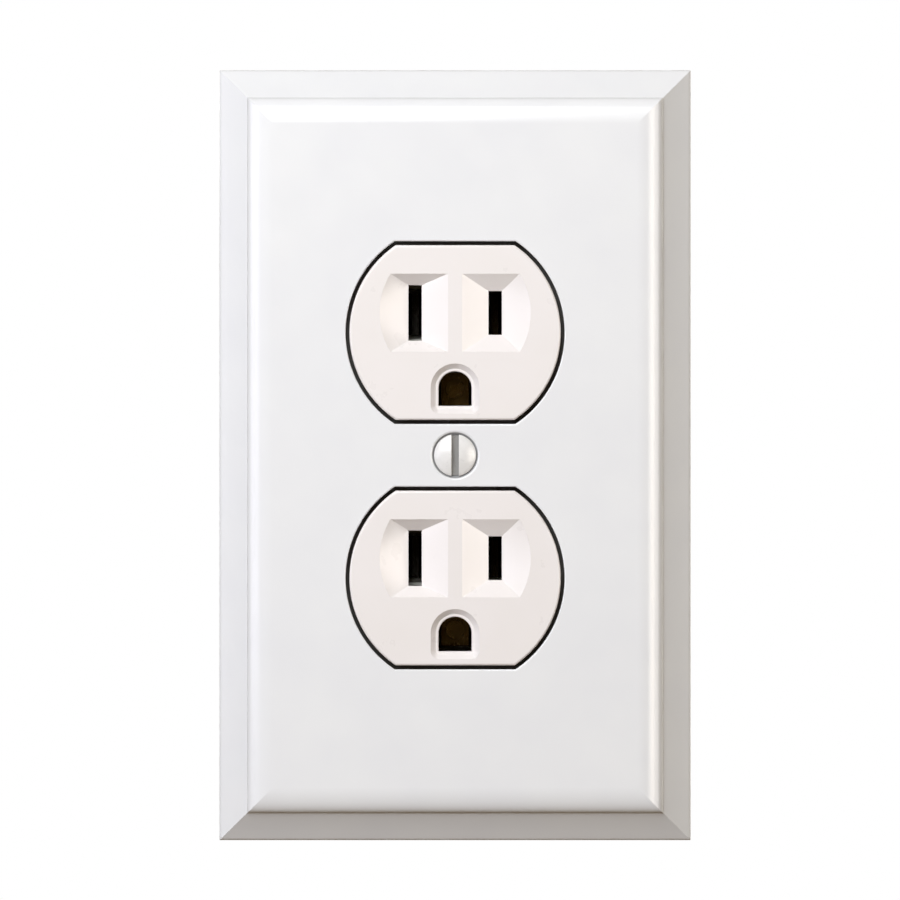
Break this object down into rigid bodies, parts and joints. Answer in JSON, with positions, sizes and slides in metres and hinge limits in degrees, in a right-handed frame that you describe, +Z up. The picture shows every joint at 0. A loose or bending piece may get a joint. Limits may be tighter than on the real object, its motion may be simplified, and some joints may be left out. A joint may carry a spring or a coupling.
{
  "type": "duplex wall outlet",
  "caption": "Duplex grounded wall outlet: a bevelled cover plate over paired sockets, with side screw terminals and a steel mounting strap behind.",
  "frame": {"origin": "on the wall's surface, on the axis of the cover plate's screw", "axes": "+X to the right of a person who faces the outlet, +Y into the wall, +Z up"},
  "size_m": [0.075, 0.031, 0.1226],
  "materials": {
    "plate_plastic": "gloss",
    "face_plastic": "gloss",
    "base_plastic": "matte",
    "galvanised_steel": "satin",
    "brass": "satin",
    "nickel": "satin",
    "painted_screw": "gloss",
    "zinc_steel": "satin",
    "green_screw": "satin",
    "fibre": "matte"
  },
  "bodies": {
    "receptacle": {"face_cover": "face_plastic", "base": "base_plastic", "mounting_strap": "galvanised_steel", "center_insert": "brass", "assembly_screws": "zinc_steel", "hot_bus": "brass", "neutral_bus": "nickel", "ground_contact_upper": "brass", "ground_contact_lower": "brass", "ground_rivets": "brass"},
    "cover_plate": {"wall_plate": "plate_plastic"},
    "cover_plate_screw": {"plate_screw": "painted_screw"},
    "hot_clamp_upper_body": {"hot_clamp_upper": "zinc_steel"},
    "hot_screw_upper_body": {"hot_screw_upper": "brass"},
    "hot_clamp_lower_body": {"hot_clamp_lower": "zinc_steel"},
    "hot_screw_lower_body": {"hot_screw_lower": "brass"},
    "neutral_clamp_upper_body": {"neutral_clamp_upper": "zinc_steel"},
    "neutral_screw_upper_body": {"neutral_screw_upper": "nickel"},
    "neutral_clamp_lower_body": {"neutral_clamp_lower": "zinc_steel"},
    "neutral_screw_lower_body": {"neutral_screw_lower": "nickel"},
    "ground_clamp_body": {"ground_clamp": "zinc_steel"},
    "ground_screw_body": {"ground_screw": "green_screw"},
    "mounting_upper_body": {"mounting_screw_upper": "zinc_steel", "retaining_washer_upper": "fibre"},
    "mounting_lower_body": {"mounting_screw_lower": "zinc_steel", "retaining_washer_lower": "fibre"}
  },
  "joints": [
    {"name": "wall_plate_slide", "type": "slide", "parent": "receptacle", "child": "cover_plate", "axis": [0, -1, 0], "range_m": [0, 0.0127]},
    {"name": "plate_screw_turn", "type": "hinge", "parent": "cover_plate", "child": "cover_plate_screw", "pos_m": [0, 0, 0], "axis": [0, -1, 0], "range_deg": [0, 5760]},
    {"name": "hot_clamp_upper_slide", "type": "slide", "parent": "receptacle", "child": "hot_clamp_upper_body", "axis": [1, 0, 0], "range_m": [0, 0.00317]},
    {"name": "hot_screw_upper_turn", "type": "hinge", "parent": "hot_clamp_upper_body", "child": "hot_screw_upper_body", "pos_m": [0, 0.0095, 0.0135], "axis": [1, 0, 0], "range_deg": [0, 1440]},
    {"name": "hot_clamp_lower_slide", "type": "slide", "parent": "receptacle", "child": "hot_clamp_lower_body", "axis": [1, 0, 0], "range_m": [0, 0.00317]},
    {"name": "hot_screw_lower_turn", "type": "hinge", "parent": "hot_clamp_lower_body", "child": "hot_screw_lower_body", "pos_m": [0, 0.0095, -0.0135], "axis": [1, 0, 0], "range_deg": [0, 1440]},
    {"name": "neutral_clamp_upper_slide", "type": "slide", "parent": "receptacle", "child": "neutral_clamp_upper_body", "axis": [-1, 0, 0], "range_m": [0, 0.00317]},
    {"name": "neutral_screw_upper_turn", "type": "hinge", "parent": "neutral_clamp_upper_body", "child": "neutral_screw_upper_body", "pos_m": [0, 0.0095, 0.0135], "axis": [-1, 0, 0], "range_deg": [0, 1440]},
    {"name": "neutral_clamp_lower_slide", "type": "slide", "parent": "receptacle", "child": "neutral_clamp_lower_body", "axis": [-1, 0, 0], "range_m": [0, 0.00317]},
    {"name": "neutral_screw_lower_turn", "type": "hinge", "parent": "neutral_clamp_lower_body", "child": "neutral_screw_lower_body", "pos_m": [0, 0.0095, -0.0135], "axis": [-1, 0, 0], "range_deg": [0, 1440]},
    {"name": "ground_clamp_slide", "type": "slide", "parent": "receptacle", "child": "ground_clamp_body", "axis": [-1, 0, 0], "range_m": [0, 0.00317]},
    {"name": "ground_screw_turn", "type": "hinge", "parent": "ground_clamp_body", "child": "ground_screw_body", "pos_m": [0, 0.0155, -0.02822], "axis": [-1, 0, 0], "range_deg": [0, 1440]},
    {"name": "mounting_screw_upper_turn", "type": "hinge", "parent": "receptacle", "child": "mounting_upper_body", "pos_m": [0, 0, 0.04167], "axis": [0, -1, 0], "continuous": true},
    {"name": "mounting_screw_lower_turn", "type": "hinge", "parent": "receptacle", "child": "mounting_lower_body", "pos_m": [0, 0, -0.04167], "axis": [0, -1, 0], "continuous": true}
  ],
  "couplings": [
    {"joint": "plate_screw_turn", "follows": "wall_plate_slide", "rad_per_m": 7915.8},
    {"joint": "hot_screw_upper_turn", "follows": "hot_clamp_upper_slide", "rad_per_m": 7915.8},
    {"joint": "hot_screw_lower_turn", "follows": "hot_clamp_lower_slide", "rad_per_m": 7915.8},
    {"joint": "neutral_screw_upper_turn", "follows": "neutral_clamp_upper_slide", "rad_per_m": 7915.8},
    {"joint": "neutral_screw_lower_turn", "follows": "neutral_clamp_lower_slide", "rad_per_m": 7915.8},
    {"joint": "ground_screw_turn", "follows": "ground_clamp_slide", "rad_per_m": 7915.8}
  ]
}
